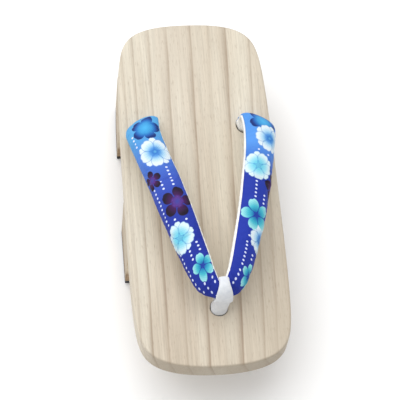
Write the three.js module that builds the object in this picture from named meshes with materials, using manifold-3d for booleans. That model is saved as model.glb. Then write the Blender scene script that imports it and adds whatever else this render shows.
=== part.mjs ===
// A right-foot geta: a wooden deck on two block teeth with rubber treads, and a padded cloth thong.
//
// Millimetres. +Z is up and the toe points along -Y. The origin is on the floor, under the middle
// of the deck. Heights in the thong's and front loop's tables are above the deck's top face.

import * as THREE from 'three';
import { mergeVertices } from 'three/addons/utils/BufferGeometryUtils.js';
import Module from 'manifold-3d';

const wasm = await Module();
wasm.setup();

// ---------------------------------------------------------------------------------------------
// Driving dimensions
// ---------------------------------------------------------------------------------------------

const CLEARANCE = 0.3; // air between curved neighbours

const DECK = {
  length: 240,
  halfWidth: 48.5, // at mid length
  toeFlare: 1.4, // extra half-width at the toe, and as much less at the heel
  endPinch: 5, // how much narrower the side line has become at either end
  endSharpness: 16, // high values keep the ends square, with small corner arcs
  toeRoundness: 2.15,
  heelRoundness: 2.5,
  thickness: 14.25,
  easedEdge: 1.25,
  underside: 42.5, // height of the deck's lower face above the floor
};
const DECK_TOP = DECK.underside + DECK.thickness;
const OUTLINE_STEPS = 26; // points along each half of a side line
const EASING_STEPS = 3;

const TREAD_THICKNESS = 3.75;
const SIDE_DRAFT = 1.25; // how far each side of a tooth leans in, from the deck to the floor
const TOOTH_STEPS = 6; // straight facets along the side of a tooth
const TEETH = [
  // front and rear faces, where they meet the deck and where they meet the floor
  { name: 'front', frontTop: -37.75, rearTop: 1, frontFoot: -36, rearFoot: 0 },
  { name: 'rear', frontTop: 51.75, rearTop: 91, frontFoot: 53.25, rearFoot: 89.5 },
];

// The thong's middle line runs from the front hole, nearer the big toe, to between the rear holes.
const FRONT_HOLE = { x: 3.75, y: -80.75, radius: 5.6 };
const REAR_HOLES = { middle: 1.25, out: 30.5, y: 45.5, radius: 6 };
const HOLE_STEPS = 20;

// One strap, from the apex over the front hole to its tail under the deck. Each row is a section
// across the padding: its inner and outer seams as [out, y, z], the height of the printed crown
// over the line between them and the depth of the lining under it. `out` is the distance from the
// middle line.
const STRAP = [
  { at: 'apex', inner: [0, -75, 23.5], outer: [0, -78.6, 12], crown: 4.2, lining: 0.8 },
  { at: 'bend', inner: [4.2, -67, 25], outer: [11.2, -76, 11.5], crown: 5.2, lining: 1.2 },
  { at: 'toes', inner: [7, -57, 25.2], outer: [19, -65, 12], crown: 6.2, lining: 1.5 },
  { at: 'ball', inner: [11.2, -41, 24.6], outer: [27, -47, 13.3], crown: 6.5, lining: 1.5 },
  { at: 'waist', inner: [15.6, -23, 24.2], outer: [33.6, -29, 14.5], crown: 6.5, lining: 1.5 },
  { at: 'instep', inner: [20, -3, 23], outer: [39.4, -8, 14.8], crown: 6.5, lining: 1.5 },
  { at: 'flank', inner: [24.2, 18, 20.4], outer: [44, 14, 13], crown: 6.2, lining: 1.5 },
  { at: 'crest', inner: [26.2, 35, 16.6], outer: [46.6, 30, 10], crown: 6, lining: 1.5 },
  { at: 'turn', inner: [26, 44.6, 12.6], outer: [46.4, 39, 6.5], crown: 6, lining: 1.5 },
  { at: 'back', inner: [25.4, 47.2, 6.5], outer: [40.5, 44.6, 2.6], crown: 5.6, lining: 1.5 },
  { at: 'mouth', inner: [25.6, 44.9, 0], outer: [35.4, 44.9, 0], crown: 4.6, lining: 3.2 },
  { at: 'tail', inner: [26, 44.9, -18], outer: [35, 44.9, -18], crown: 4.2, lining: 3.2 },
];
// The two straps don't bow alike: how far out and up the middle of each seam is moved, side by side.
const BOW = { from: -78, to: 32 };
const SIDES = [
  { name: 'outside', sign: -1, inner: { out: -2.6, up: 2.2 }, outer: { out: -2.8, up: 2.2 } },
  { name: 'big toe', sign: 1, inner: { out: 0.4, up: -0.4 }, outer: { out: -1.2, up: -1.2 } },
];
const CROWN_FULLNESS = 2.5; // 2 is an ellipse, higher fills the shoulders of the padding
const STRAP_STEPS = 76;
const STRAP_FACETS = 20;
const TANGENT_STEP = 0.005; // a share of the thong's length, over which its direction is measured

// The white front loop: a flat band around the apex, and the leg that it shares down the hole.
const LOOP = { halfWidth: 4.9, thickness: 3.8, lean: 1.2, bite: 1 }; // the thong cuts the bite off
const LEG = [
  { z: 20, y: -83, lean: 1.2, halfWidth: 4.4, halfDepth: 1.6 },
  { z: 13, y: -82, lean: 1, halfWidth: 4.8, halfDepth: 3 },
  { z: 6, y: -81.2, lean: 0.5, halfWidth: 5, halfDepth: 4 },
  { z: 0, y: -80.75, lean: 0, halfWidth: 5, halfDepth: 4.7 },
  { z: -18, y: -80.75, lean: 0, halfWidth: 4.6, halfDepth: 4.4 },
];
const LEG_STEPS = 16;
const RING_STEPS = 36;
const BAND_FACETS = 14;

// Plain knots keep the three cords from pulling up through the deck.
const KNOT = { radius: 5.9, height: 9 };
const KNOT_STEPS = 14;

// ---------------------------------------------------------------------------------------------
// Geometry helpers
// ---------------------------------------------------------------------------------------------

/** Moves every vertex of a geometry to where `rule` sends it, and welds the seams. */
function reshape(geometry, rule) {
  const position = geometry.attributes.position;
  const point = new THREE.Vector3();
  for (let i = 0; i < position.count; i += 1) {
    point.fromBufferAttribute(position, i);
    rule(point, i);
    position.setXYZ(i, point.x, point.y, point.z);
  }
  return weld(geometry);
}

/** Keeps only the positions of a geometry, with one vertex where several coincide. */
function weld(geometry) {
  geometry.deleteAttribute('normal');
  geometry.deleteAttribute('uv');
  return mergeVertices(geometry);
}

/** Makes a manifold solid of a closed three.js geometry. */
function solid(geometry) {
  return new wasm.Manifold(new wasm.Mesh({
    numProp: 3,
    vertProperties: Float32Array.from(geometry.attributes.position.array),
    triVerts: Uint32Array.from(geometry.index.array),
  }));
}

/** Makes a three.js geometry of a manifold solid. */
function surface(body) {
  const mesh = body.getMesh();
  const geometry = new THREE.BufferGeometry();
  geometry.setAttribute('position', new THREE.BufferAttribute(mesh.vertProperties, mesh.numProp));
  geometry.setIndex(new THREE.BufferAttribute(mesh.triVerts, 1));
  return geometry;
}

/** A closed tube of `along` steps, whose skin is `rule(t, angle, reach)`: reach is 0 on the axis. */
function loft(along, around, rule) {
  const tube = new THREE.CylinderGeometry(1, 1, 1, around, along);
  return reshape(tube, (point) => {
    const angle = Math.atan2(point.x, point.z);
    const reach = Math.min(1, Math.round(Math.hypot(point.x, point.z)));
    point.copy(rule(0.5 - point.y, angle, reach));
  });
}

/** A smooth curve through points, read at t from 0 to 1. */
function smoothCurve(points) {
  return new THREE.CatmullRomCurve3(points, false, 'centripetal');
}

// ---------------------------------------------------------------------------------------------
// Deck, teeth and treads
// ---------------------------------------------------------------------------------------------

/** Half the width of the deck's side line at a place along it, before its ends are rounded. */
function sideLine(y) {
  const u = y / (DECK.length / 2);
  return DECK.halfWidth - DECK.toeFlare * u - DECK.endPinch * u ** 4;
}

/** Half the width of the deck at a place along it. */
function deckHalfWidth(y) {
  const u = Math.min(1, Math.abs(y) / (DECK.length / 2));
  const roundness = y < 0 ? DECK.toeRoundness : DECK.heelRoundness;
  return sideLine(y) * (1 - u ** DECK.endSharpness) ** (1 / roundness);
}

/** The x of the rear cord hole on one side. */
function rearHoleX(sign) {
  return REAR_HOLES.middle + sign * REAR_HOLES.out;
}

/** The deck's outline as a shape with its three cord holes. */
function deckShape() {
  const side = [];
  for (let i = -OUTLINE_STEPS; i <= OUTLINE_STEPS; i += 1) {
    const s = i / OUTLINE_STEPS;
    const y = Math.sign(s) * (1 - (1 - Math.abs(s)) ** 3) * DECK.length / 2;
    side.push(new THREE.Vector2(deckHalfWidth(y), y));
  }
  const opposite = side.slice(1, -1).reverse().map((p) => new THREE.Vector2(-p.x, p.y));
  const shape = new THREE.Shape([...side, ...opposite]);
  const rearHoles = SIDES.map(({ sign }) => ({ ...REAR_HOLES, x: rearHoleX(sign) }));
  for (const hole of [FRONT_HOLE, ...rearHoles]) {
    shape.holes.push(new THREE.Path().absarc(hole.x, hole.y, hole.radius, 0, 2 * Math.PI));
  }
  return shape;
}

/** The deck: a plank with eased edges, standing on the teeth. */
function deckGeometry() {
  const plank = new THREE.ExtrudeGeometry(deckShape(), {
    depth: DECK.thickness - 2 * DECK.easedEdge,
    curveSegments: HOLE_STEPS,
    bevelThickness: DECK.easedEdge,
    bevelSize: DECK.easedEdge,
    bevelOffset: -DECK.easedEdge,
    bevelSegments: EASING_STEPS,
  });
  plank.translate(0, 0, DECK.underside + DECK.easedEdge);
  return weld(plank);
}

/** The slice of a tooth between two heights: a block whose sides follow the deck's side line. */
function toothGeometry(tooth, low, high) {
  const block = new THREE.BoxGeometry(1, 1, 1, 1, TOOTH_STEPS, 1);
  return reshape(block, (point) => {
    const z = point.z < 0 ? low : high;
    const rise = z / DECK.underside;
    const front = THREE.MathUtils.lerp(tooth.frontFoot, tooth.frontTop, rise);
    const rear = THREE.MathUtils.lerp(tooth.rearFoot, tooth.rearTop, rise);
    const y = THREE.MathUtils.lerp(front, rear, point.y + 0.5);
    const halfWidth = sideLine(y) - SIDE_DRAFT * (1 - rise);
    point.set(2 * point.x * halfWidth, y, z);
  });
}

// ---------------------------------------------------------------------------------------------
// Thong and front loop
// ---------------------------------------------------------------------------------------------

/** A sine or cosine pushed outwards, so that the padding fills its shoulders. */
function fuller(value) {
  return Math.sign(value) * Math.abs(value) ** (2 / CROWN_FULLNESS);
}

/** The x of the thong's middle line at a place along the deck. */
function middleLine(y) {
  const t = (y - FRONT_HOLE.y) / (REAR_HOLES.y - FRONT_HOLE.y);
  return THREE.MathUtils.lerp(FRONT_HOLE.x, REAR_HOLES.middle, t);
}

/** The strap's sections on one side, with each seam moved by that side's own bow. */
function sideSections(side) {
  const place = ([out, y, z], shift) => {
    const along = THREE.MathUtils.clamp((y - BOW.from) / (BOW.to - BOW.from), 0, 1);
    const share = Math.sin(Math.PI * along);
    return new THREE.Vector3(side.sign * (out + shift.out * share), y, z + shift.up * share);
  };
  return STRAP.map((row) => ({
    inner: place(row.inner, side.inner),
    outer: place(row.outer, side.outer),
    padding: new THREE.Vector3(row.crown, row.lining, 0),
  }));
}

/** The sections of the whole thong, from one tail over the apex to the other. */
function thongSections() {
  const [outside, bigToe] = SIDES.map(sideSections);
  return [...outside.reverse(), ...bigToe.slice(1)];
}

const sections = thongSections();
const innerSeam = smoothCurve(sections.map((section) => section.inner));
const outerSeam = smoothCurve(sections.map((section) => section.outer));
const padding = smoothCurve(sections.map((section) => section.padding));

/** The middle of the thong's section at t, between its two seams. */
function sectionMiddle(t) {
  const inside = THREE.MathUtils.clamp(t, 0, 1);
  return innerSeam.getPoint(inside).add(outerSeam.getPoint(inside)).multiplyScalar(0.5);
}

/** A point of the thong's skin: angle 0 is the outer seam, a quarter turn is the top of the crown. */
function thongPoint(t, angle, reach, growth) {
  const across = outerSeam.getPoint(t).sub(innerSeam.getPoint(t));
  const forward = sectionMiddle(t + TANGENT_STEP).sub(sectionMiddle(t - TANGENT_STEP));
  const up = across.clone().cross(forward).normalize();
  const halfWidth = across.length() / 2;
  const { x: crown, y: lining } = padding.getPoint(t);
  const height = Math.sin(angle) > 0 ? crown : lining;
  const point = sectionMiddle(t)
    .addScaledVector(across.normalize(), reach * (halfWidth + growth) * fuller(Math.cos(angle)))
    .addScaledVector(up, reach * (height + growth) * fuller(Math.sin(angle)));
  point.x += middleLine(point.y);
  point.z += DECK_TOP;
  return point;
}

/** A plain round knot under the deck, below the hole at x and y. */
function knot(x, y) {
  const ball = new THREE.SphereGeometry(KNOT.radius, KNOT_STEPS, KNOT_STEPS / 2);
  ball.rotateX(Math.PI / 2);
  ball.scale(1, 1, KNOT.height / 2 / KNOT.radius);
  ball.translate(x, y, DECK.underside - CLEARANCE - KNOT.height / 2);
  return solid(weld(ball));
}

/** The thong with its two knots, or with `growth` more all round. */
function thongSolid(growth) {
  const straps = loft(STRAP_STEPS, STRAP_FACETS, (t, angle, reach) => thongPoint(t, angle, reach, growth));
  return SIDES.reduce((body, { sign }) => body.add(knot(rearHoleX(sign), REAR_HOLES.y)), solid(straps));
}

/** The band around the apex, which lies on the thong with clearance all round. */
function bandGeometry() {
  const ring = new THREE.TorusGeometry(1, 0.5, BAND_FACETS, RING_STEPS);
  const turns = ring.attributes.uv.clone();
  return reshape(ring, (point, i) => {
    const around = 2 * Math.PI * turns.getX(i);
    const across = 2 * Math.PI * turns.getY(i);
    const growth = CLEARANCE - LOOP.bite + (LOOP.thickness + LOOP.bite) * (1 + Math.cos(across)) / 2;
    point.copy(thongPoint(0.5, around, 1, growth));
    point.x += LOOP.lean - LOOP.halfWidth * Math.sin(across);
  });
}

/** The leg from the band down through the deck's front hole. */
function legGeometry() {
  const route = smoothCurve(LEG.map((row) => new THREE.Vector3(row.lean, row.y, row.z)));
  const girth = smoothCurve(LEG.map((row) => new THREE.Vector3(row.halfWidth, row.halfDepth, 0)));
  return loft(LEG_STEPS, BAND_FACETS, (t, angle, reach) => {
    const point = route.getPoint(t);
    const { x: halfWidth, y: halfDepth } = girth.getPoint(t);
    point.x += FRONT_HOLE.x + reach * halfWidth * Math.cos(angle);
    point.y += reach * halfDepth * Math.sin(angle);
    point.z += DECK_TOP;
    return point;
  });
}

/** The front loop with its knot, cut clear of the thong, without the crumbs of the cut. */
function loopSolid() {
  return solid(bandGeometry())
    .add(solid(legGeometry()))
    .add(knot(FRONT_HOLE.x, FRONT_HOLE.y))
    .subtract(thongSolid(CLEARANCE))
    .decompose()
    .reduce((largest, part) => (part.volume() > largest.volume() ? part : largest));
}

// ---------------------------------------------------------------------------------------------
// Materials and assembly
// ---------------------------------------------------------------------------------------------

const paulownia = new THREE.MeshStandardMaterial({ color: 0xe0d2ba, roughness: 0.7, metalness: 0 });
const rubber = new THREE.MeshStandardMaterial({ color: 0x1b1b1d, roughness: 0.85, metalness: 0 });
const printedCotton = new THREE.MeshStandardMaterial({ color: 0x2f3fb5, roughness: 0.8, metalness: 0 });
const whiteCloth = new THREE.MeshStandardMaterial({ color: 0xf1f0ee, roughness: 0.85, metalness: 0 });

const geta = new THREE.Group();

/** Adds one named piece to the sandal. */
function addPiece(name, geometry, material) {
  const mesh = new THREE.Mesh(geometry, material);
  mesh.name = name;
  geta.add(mesh);
}

addPiece('deck', deckGeometry(), paulownia);
for (const tooth of TEETH) {
  addPiece(`${tooth.name}_tooth`, toothGeometry(tooth, TREAD_THICKNESS, DECK.underside), paulownia);
  addPiece(`${tooth.name}_tread`, toothGeometry(tooth, 0, TREAD_THICKNESS), rubber);
}
addPiece('thong', surface(thongSolid(0)), printedCotton);
addPiece('front_loop', surface(loopSolid()), whiteCloth);

export default geta;
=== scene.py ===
"""A right-foot geta: paulownia deck and teeth, rubber treads, a padded print thong and a white loop.

Sizes in the classes are millimetres in the model's own frame: +Z up, toe towards -Y, origin on the
floor under the middle of the deck. Meshes are made in metres.
"""

import logging
import math
from dataclasses import dataclass
from enum import Enum
from typing import Any, Callable, Sequence

import bmesh
import bpy
import numpy as np
from mathutils import Matrix, Vector, noise


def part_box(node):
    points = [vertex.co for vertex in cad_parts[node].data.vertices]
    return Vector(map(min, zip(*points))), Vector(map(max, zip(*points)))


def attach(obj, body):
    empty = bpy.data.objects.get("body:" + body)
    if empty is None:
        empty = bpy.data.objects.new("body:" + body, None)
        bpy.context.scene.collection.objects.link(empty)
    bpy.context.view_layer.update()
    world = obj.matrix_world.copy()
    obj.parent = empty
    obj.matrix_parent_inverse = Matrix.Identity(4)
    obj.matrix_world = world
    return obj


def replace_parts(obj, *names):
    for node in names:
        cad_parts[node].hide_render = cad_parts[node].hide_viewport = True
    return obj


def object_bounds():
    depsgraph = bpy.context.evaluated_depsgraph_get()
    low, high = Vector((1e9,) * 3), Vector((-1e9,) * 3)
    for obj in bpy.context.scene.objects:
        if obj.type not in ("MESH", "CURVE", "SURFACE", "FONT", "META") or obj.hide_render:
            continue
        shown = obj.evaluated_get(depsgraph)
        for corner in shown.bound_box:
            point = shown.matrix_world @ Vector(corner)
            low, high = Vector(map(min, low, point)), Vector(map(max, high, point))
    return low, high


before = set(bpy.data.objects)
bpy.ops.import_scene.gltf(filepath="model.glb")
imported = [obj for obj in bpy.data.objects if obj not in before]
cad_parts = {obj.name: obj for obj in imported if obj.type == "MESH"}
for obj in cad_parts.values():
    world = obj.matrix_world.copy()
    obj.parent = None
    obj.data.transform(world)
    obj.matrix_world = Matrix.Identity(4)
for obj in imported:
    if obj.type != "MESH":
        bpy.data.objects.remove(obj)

CAD_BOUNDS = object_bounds()
LOG = logging.getLogger("geta")
METRES = 0.001  # one millimetre in metres
SAME_POINT = 1e-4  # distances shorter than this are taken as none
WELD = 0.001  # seams are joined where they come this near, in millimetres
NOISE_SPAN = (0.3, 0.7)  # nearly all of a noise lies between these
ROOT = "root"
CLOTH_MAP = "cloth"  # the map of a piece's place along and across its cloth, in metres
HELD = "held"  # the attribute that says how firmly a cover's vertices are held
Array = np.ndarray
Rule = Callable[[Array, Array], tuple[Array, Array, Array]]
Hold = Callable[[Array, Array], Array]


# ------------------------------------------------------------------------------------------------
# Shader graphs
# ------------------------------------------------------------------------------------------------


def linear(hex_colour: str) -> tuple[float, float, float, float]:
    """Turns an sRGB hex colour into the linear colour that shaders work in.

    Args:
        hex_colour: Six hex digits, such as "e1d4be".

    Returns:
        Red, green, blue and an alpha of 1.
    """
    channels = [int(hex_colour[i : i + 2], 16) / 255 for i in (0, 2, 4)]
    steps = [c / 12.92 if c <= 0.04045 else ((c + 0.055) / 1.055) ** 2.4 for c in channels]
    return (*steps, 1.0)


class Graph:
    """A node tree that is built up by adding nodes with their settings and links."""

    def __init__(self, tree: bpy.types.NodeTree) -> None:
        """Empties a tree and starts to fill it."""
        self.tree = tree
        tree.nodes.clear()

    def add(self, kind: str, *values: Any, named: dict[str, Any] | None = None, **settings: Any) -> Any:
        """Adds a node, sets its properties and fills its inputs.

        Args:
            kind: The node's type without its "ShaderNode" or "Node" prefix.
            values: What goes into the enabled inputs, in order: a node, a socket, a constant or None.
            named: What goes into the inputs of these names.
            settings: Properties of the node.

        Returns:
            The node.
        """
        prefix = "Node" if kind in ("GroupInput", "GroupOutput") else "ShaderNode"
        node = self.tree.nodes.new(prefix + kind)
        for name, value in settings.items():
            setattr(node, name, value)
        enabled = [socket for socket in node.inputs if socket.enabled]
        pairs = list(zip(enabled, values)) + [(node.inputs[n], v) for n, v in (named or {}).items()]
        for socket, value in pairs:
            if isinstance(value, bpy.types.Node):
                value = next(output for output in value.outputs if output.enabled)
            if isinstance(value, bpy.types.NodeSocket):
                self.tree.links.new(value, socket)
            elif value is not None:
                socket.default_value = value
        return node

    def ramp(self, factor: Any, stops: Sequence[tuple[float, tuple[float, ...]]]) -> Any:
        """Adds a colour ramp.

        Args:
            factor: What drives the ramp, from 0 to 1.
            stops: The place and linear colour of each stop, in order.

        Returns:
            The ramp's node.
        """
        node = self.add("ValToRGB", factor)
        elements = node.color_ramp.elements
        while len(elements) < len(stops):
            elements.new(1.0)
        for element, (place, colour) in zip(elements, stops):
            element.position = place
            element.color = colour
        return node


def grey(value: float) -> tuple[float, float, float, float]:
    """The linear colour of an even grey."""
    return (value, value, value, 1.0)


class Finish:
    """A surface finish: what it is made of and how it was worked."""

    name: str

    def material(self) -> bpy.types.Material:
        """Makes the finish's material, or finds it if it is already made.

        Returns:
            The material.
        """
        found = bpy.data.materials.get(self.name)
        if found:
            return found
        material = bpy.data.materials.new(self.name)
        material.use_nodes = True
        graph = Graph(material.node_tree)
        shader = self.dress(graph)
        graph.add("OutputMaterial", shader)
        return material

    def dress(self, graph: Graph) -> Any:
        """Adds the finish's nodes and returns its shader."""
        raise NotImplementedError


def per_metre(size: float) -> float:
    """The scale of a noise whose grain is this many millimetres, on coordinates in metres."""
    return 1 / (size * METRES)


class Fibres(Enum):
    """Which way a piece of wood was laid, as a turn that brings its fibres to the Y axis."""

    HEEL_TO_TOE = 0.0
    SIDE_TO_SIDE = math.pi / 2


@dataclass(frozen=True)
class Ring:
    """One dark growth line: how far across the board, how dark and how wide its soft side is."""

    at: float
    strength: float
    spread: float


@dataclass(frozen=True)
class Paulownia(Finish):
    """Planed and lightly sanded paulownia: pale, dry and satin, with brown growth lines and open pores."""

    name: str
    fibres: Fibres
    pale: str = "cfc7b6"
    warm: str = "bdb09d"
    line: str = "86705a"
    end_grain: str = "968a78"
    roughness: float = 0.62
    band: tuple[float, float] = (17.0, 240.0)  # each grain is its width and its length
    streak: tuple[float, float] = (0.9, 45.0)
    pore: tuple[float, float] = (0.45, 5.0)
    streak_tones: tuple[float, float] = (1.08, 0.88)
    pore_share: float = 0.34
    end_grain_share: float = 0.6
    relief: tuple[float, float] = (0.05, -0.06)  # how far streaks rise and pores sink

    def ring_mask(self, graph: Graph, place: Any) -> Any:
        """Adds the growth lines and returns how strongly each spot shows one."""
        raise NotImplementedError

    def stain(self, graph: Graph, place: Any, body: Any) -> Any:
        """Adds what colours one part of the wood, and returns the body colour with it."""
        raise NotImplementedError

    def stretched(self, graph: Graph, place: Any, grain: tuple[float, float], detail: float = 2.0) -> Any:
        """Adds a noise that is drawn out along the fibres.

        Args:
            graph: The graph to add to.
            place: The place in millimetres, with the fibres along Y.
            grain: Its grain across the fibres and along them, in millimetres.
            detail: How many finer noises lie over it.

        Returns:
            The noise's node.
        """
        width, length = grain
        cell = graph.add("VectorMath", place, (1 / width, 1 / length, 1 / width), operation="MULTIPLY")
        named = {"Vector": cell, "Scale": 1.0, "Detail": detail, "Roughness": 0.5}
        return graph.add("TexNoise", named=named)

    def dress(self, graph: Graph) -> Any:
        """Adds the wood's nodes.

        Args:
            graph: The graph to add to.

        Returns:
            The wood's shader.
        """
        seen = graph.add("TexCoord")
        turned = graph.add(
            "Mapping",
            named={
                "Vector": seen.outputs["Object"],
                "Rotation": (0, 0, self.fibres.value),
                "Scale": (1 / METRES,) * 3,
            },
        )
        rings = self.ring_mask(graph, turned)
        band = self.stretched(graph, turned, self.band)
        streak = self.stretched(graph, turned, self.streak, 4.0)
        pores = self.stretched(graph, turned, self.pore, 1.0)
        pore = graph.add("MapRange", pores, 0.62, 0.74, 0.0, 1.0)
        tone = graph.add("MapRange", band, 0.35, 0.65, 0.0, 1.0)
        body = graph.add("Mix", tone, linear(self.pale), linear(self.warm), data_type="RGBA")
        streaked = graph.add("MapRange", streak, *NOISE_SPAN, *self.streak_tones)
        body = graph.add("VectorMath", body, streaked, operation="MULTIPLY")
        body = self.stain(graph, turned, body)
        body = graph.add("Mix", rings, body, linear(self.line), data_type="RGBA")
        flecked = graph.add("Math", pore, self.pore_share, operation="MULTIPLY")
        body = graph.add("Mix", flecked, body, linear(self.line), data_type="RGBA")
        facing = graph.add("Mapping", seen.outputs["Normal"], None, (0, 0, self.fibres.value))
        across = graph.add("SeparateXYZ", facing)
        sawn = graph.add("Math", across.outputs["Y"], operation="ABSOLUTE")
        sawn = graph.add("MapRange", sawn, 0.2, 0.95, 0.0, self.end_grain_share)
        body = graph.add("Mix", sawn, body, linear(self.end_grain), data_type="RGBA")
        risen, sunk = self.relief
        relief = graph.add("Math", streak, risen, operation="MULTIPLY")
        relief = graph.add("Math", pore, sunk, relief, operation="MULTIPLY_ADD")
        bump = graph.add("Bump", named={"Strength": 0.8, "Distance": METRES, "Height": relief})
        smoother, rougher = self.roughness - 0.06, self.roughness + 0.08
        dull = graph.add("MapRange", streak, *NOISE_SPAN, smoother, rougher)
        named = {"Base Color": body, "Roughness": dull, "Normal": bump, "IOR": 1.5}
        return graph.add("BsdfPrincipled", named=named)


@dataclass(frozen=True)
class DeckWood(Paulownia):
    """The deck's board, sawn so that its growth lines run the whole length of its top."""

    half_span: float = 52.0  # how far to either side the growth lines are charted
    slant: float = 0.35  # how far a line steps aside for each millimetre down through the board
    sway: float = 1.6
    sway_grain: tuple[float, float] = (60.0, 110.0)
    lean: float = 0.021  # how far a line steps aside for each millimetre towards the heel
    fan: float = 0.00045  # the share by which lines stand wider for each millimetre towards the heel
    crisp: float = 3.0
    line_width: float = 0.9
    uneven: tuple[float, float] = (0.6, 1.35)
    uneven_grain: tuple[float, float] = (9.0, 70.0)
    # a paler tone towards the heel, strongest along a line on the outside half of the board
    heel_pale: str = "dcd7cb"
    heel_pale_share: float = 0.2
    heel_pale_starts: tuple[float, float] = (-30.0, 30.0)
    heel_pale_middle: float = -12.0
    heel_pale_fades: tuple[float, float] = (6.0, 24.0)
    # a darker tone towards the toe on the big-toe side of the board
    toe_dark: str = "9c8b76"
    toe_dark_share: float = 0.42
    toe_dark_starts: tuple[float, float] = (-4.0, -44.0)
    toe_dark_rises: tuple[float, float] = (2.0, 34.0)
    rings: tuple[Ring, ...] = (
        Ring(-44.5, 0.36, 3.5),
        Ring(-37.5, 0.58, 4.5),
        Ring(-27.4, 0.60, 5.5),
        Ring(-16.0, 0.48, 5.0),
        Ring(-8.5, 0.14, 3.0),
        Ring(-1.1, 0.66, 6.0),
        Ring(10.0, 0.12, 4.0),
        Ring(20.9, 0.66, 7.0),
        Ring(35.0, 0.52, 6.5),
        Ring(43.5, 0.30, 5.0),
    )

    def ring_mask(self, graph: Graph, place: Any) -> Any:
        """Adds the charted growth lines, each soft on one side and crisp on the other.

        Args:
            graph: The graph to add to.
            place: The place in millimetres, with the fibres along Y.

        Returns:
            How strongly each spot shows a line.
        """
        wander = self.stretched(graph, place, self.sway_grain, 1.0)
        sway = graph.add("MapRange", wander, 0.0, 1.0, -self.sway, self.sway)
        x, y, z = graph.add("SeparateXYZ", place).outputs
        across = graph.add("Math", z, self.slant, x, operation="MULTIPLY_ADD")
        across = graph.add("Math", across, sway, operation="ADD")
        across = graph.add("Math", y, -self.lean, across, operation="MULTIPLY_ADD")
        opened = graph.add("Math", y, self.fan, 1.0, operation="MULTIPLY_ADD")
        across = graph.add("Math", across, opened, operation="DIVIDE")
        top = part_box("deck")[1].z / METRES * self.slant
        share = graph.add("MapRange", across, top - self.half_span, top + self.half_span, 0.0, 1.0)
        stops = []
        for ring in self.rings:
            peak = ring.strength ** (1 / self.crisp)
            for offset, height in ((-ring.spread, 0.0), (0.0, peak), (self.line_width, 0.0)):
                stops.append(((ring.at + offset + self.half_span) / (2 * self.half_span), grey(height)))
        mask = graph.add("Math", graph.ramp(share, sorted(stops)), self.crisp, operation="POWER")
        patches = self.stretched(graph, place, self.uneven_grain)
        uneven = graph.add("MapRange", patches, *NOISE_SPAN, *self.uneven)
        return graph.add("Math", mask, uneven, operation="MULTIPLY")

    def stain(self, graph: Graph, place: Any, body: Any) -> Any:
        """Pales the board towards the heel around a line on its outside half, and darkens its big-toe side
        towards the toe.

        Args:
            graph: The graph to add to.
            place: The place in millimetres, with the fibres along Y.
            body: The wood's colour without them.

        Returns:
            The colour with them.
        """
        x, y, _ = graph.add("SeparateXYZ", place).outputs
        # paler towards the heel around a line on the outside half
        heelwards = graph.add("MapRange", y, *self.heel_pale_starts, 0.0, self.heel_pale_share)
        beside = graph.add("Math", x, self.heel_pale_middle, operation="SUBTRACT")
        beside = graph.add("Math", beside, operation="ABSOLUTE")
        pale = graph.add("MapRange", beside, *self.heel_pale_fades, 1.0, 0.0)
        pale = graph.add("Math", pale, heelwards, operation="MULTIPLY")
        body = graph.add("Mix", pale, body, linear(self.heel_pale), data_type="RGBA")
        # darker towards the toe on the big-toe side
        toewards = graph.add("MapRange", y, *self.toe_dark_starts, 0.0, self.toe_dark_share)
        edge = graph.add("MapRange", x, *self.toe_dark_rises, 0.0, 1.0)
        brown = graph.add("Math", edge, toewards, operation="MULTIPLY")
        return graph.add("Mix", brown, body, linear(self.toe_dark), data_type="RGBA")


@dataclass(frozen=True)
class ToothWood(Paulownia):
    """A tooth's block, with its fibres from side to side and close rings on its sawn ends."""

    ring_spacing: float = 4.6
    ring_sway: float = 9.0
    ring_sway_grain: tuple[float, float] = (22.0, 90.0)
    ring_strengths: tuple[float, float] = (1.9, 0.5)  # in the foot and over it
    pith: tuple[float, float] = (-30.0, -55.0)
    foot: str = "8e6a42"
    foot_share: float = 0.72
    foot_height: float = 16.0
    foot_sway: float = 6.0
    foot_sway_grain: tuple[float, float] = (14.0, 60.0)
    foot_blur: float = 1.6

    def low(self, graph: Graph, place: Any, below: float, above: float) -> Any:
        """Adds a value that changes where the block's browner foot begins.

        Args:
            graph: The graph to add to.
            place: The place in millimetres.
            below: The value in the foot.
            above: The value over it.

        Returns:
            The value's node.
        """
        height = graph.add("SeparateXYZ", place).outputs["Z"]
        wander = self.stretched(graph, place, self.foot_sway_grain)
        edge = graph.add("Math", wander, self.foot_sway, height, operation="MULTIPLY_ADD")
        start = self.foot_height + self.foot_sway / 2 - self.foot_blur
        return graph.add("MapRange", edge, start, start + 2 * self.foot_blur, below, above)

    def stain(self, graph: Graph, place: Any, body: Any) -> Any:
        """Adds the browner wood of the block's foot."""
        share = self.low(graph, place, self.foot_share, 0.0)
        return graph.add("Mix", share, body, linear(self.foot), data_type="RGBA")

    def ring_mask(self, graph: Graph, place: Any) -> Any:
        """Adds rings around a pith below the block.

        Args:
            graph: The graph to add to.
            place: The place in millimetres, with the fibres along Y.

        Returns:
            How strongly each spot shows a ring.
        """
        offset = graph.add("VectorMath", place, (self.pith[0], 0, self.pith[1]), operation="SUBTRACT")
        wander = self.stretched(graph, place, self.ring_sway_grain)
        flat = graph.add("VectorMath", offset, (1, 0, 1), operation="MULTIPLY")
        distance = graph.add("VectorMath", flat, operation="LENGTH").outputs["Value"]
        swayed = graph.add("Math", wander, self.ring_sway, distance, operation="MULTIPLY_ADD")
        turn = graph.add("Math", swayed, self.ring_spacing, operation="DIVIDE")
        phase = graph.add("Math", turn, operation="FRACT")
        stops = [(0.0, grey(0.0)), (0.55, grey(0.03)), (0.9, grey(0.3)), (1.0, grey(0.0))]
        strength = self.low(graph, place, *self.ring_strengths)
        return graph.add("Math", graph.ramp(phase, stops), strength, operation="MULTIPLY")


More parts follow.
